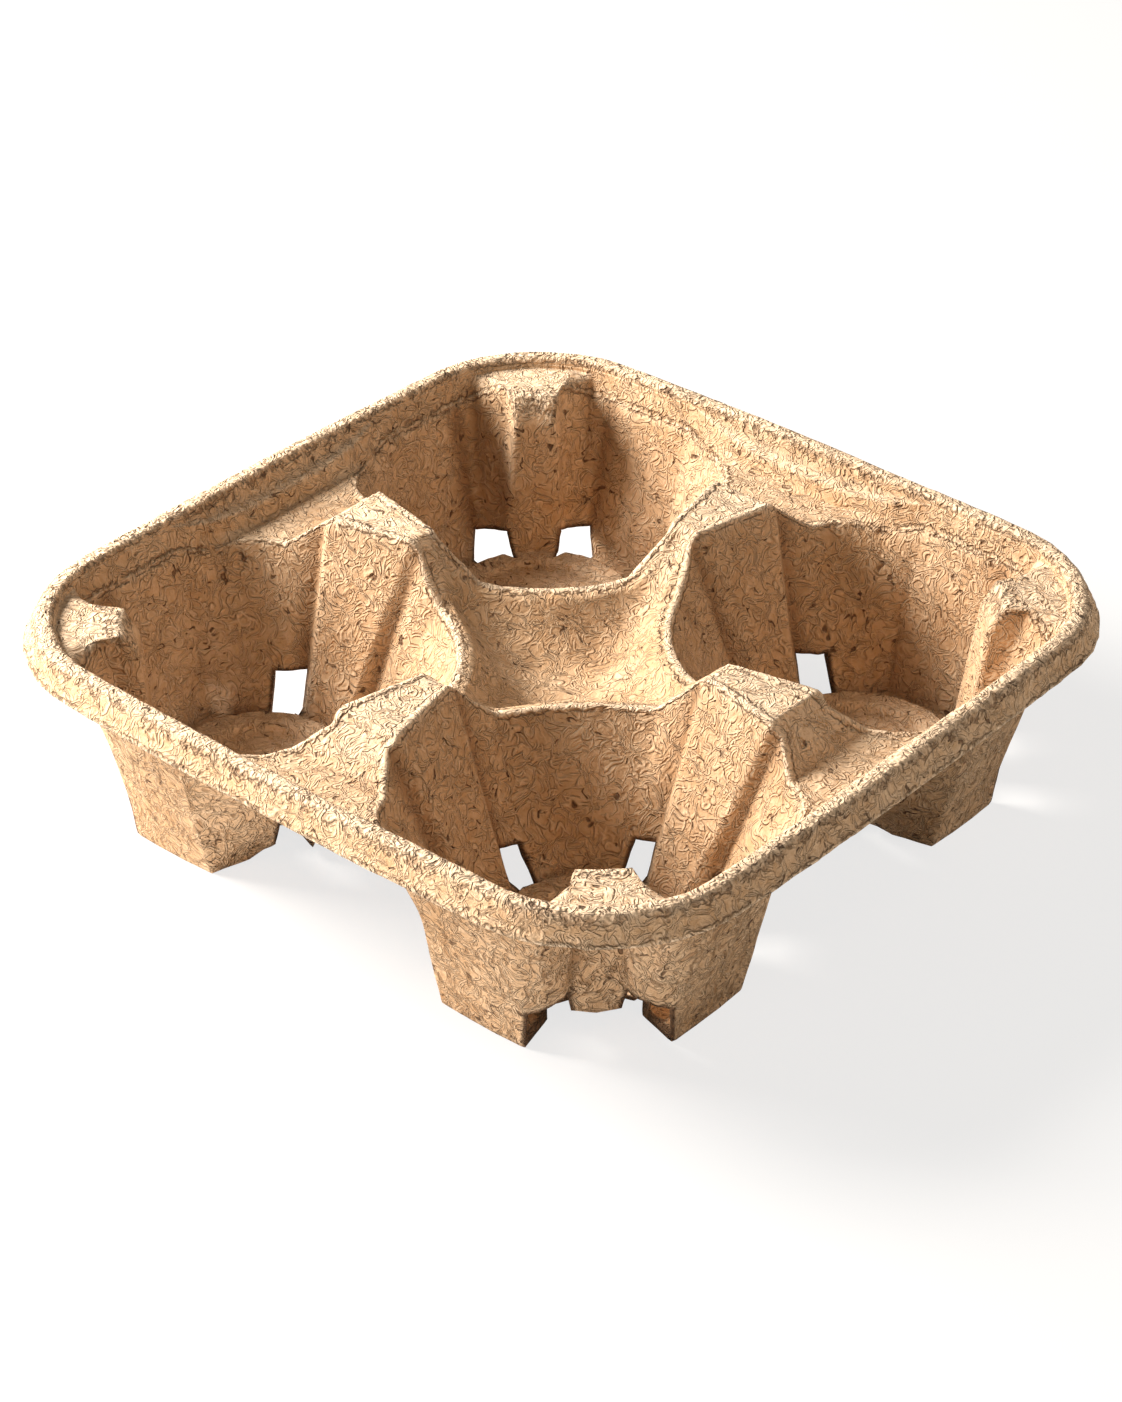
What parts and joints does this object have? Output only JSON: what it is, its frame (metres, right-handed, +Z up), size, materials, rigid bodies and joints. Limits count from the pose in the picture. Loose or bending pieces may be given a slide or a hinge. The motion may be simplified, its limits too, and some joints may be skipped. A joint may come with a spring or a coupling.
{
  "type": "cup carrier tray",
  "caption": "Square moulded pulp tray that carries cups in round tapered pockets, with a turned down rim, raised towers between the pockets and a shallow dish in the middle.",
  "frame": {"origin": "centre of the tray, at the level its feet stand on", "axes": "+Z up; X and Y along the tray's two pairs of sides, so each pocket lies on a diagonal"},
  "size_m": [0.213, 0.213, 0.0535],
  "materials": {
    "pulp": "matt, rough pressed fibre"
  },
  "bodies": {
    "root": {"tray": "pulp"}
  },
  "joints": []
}
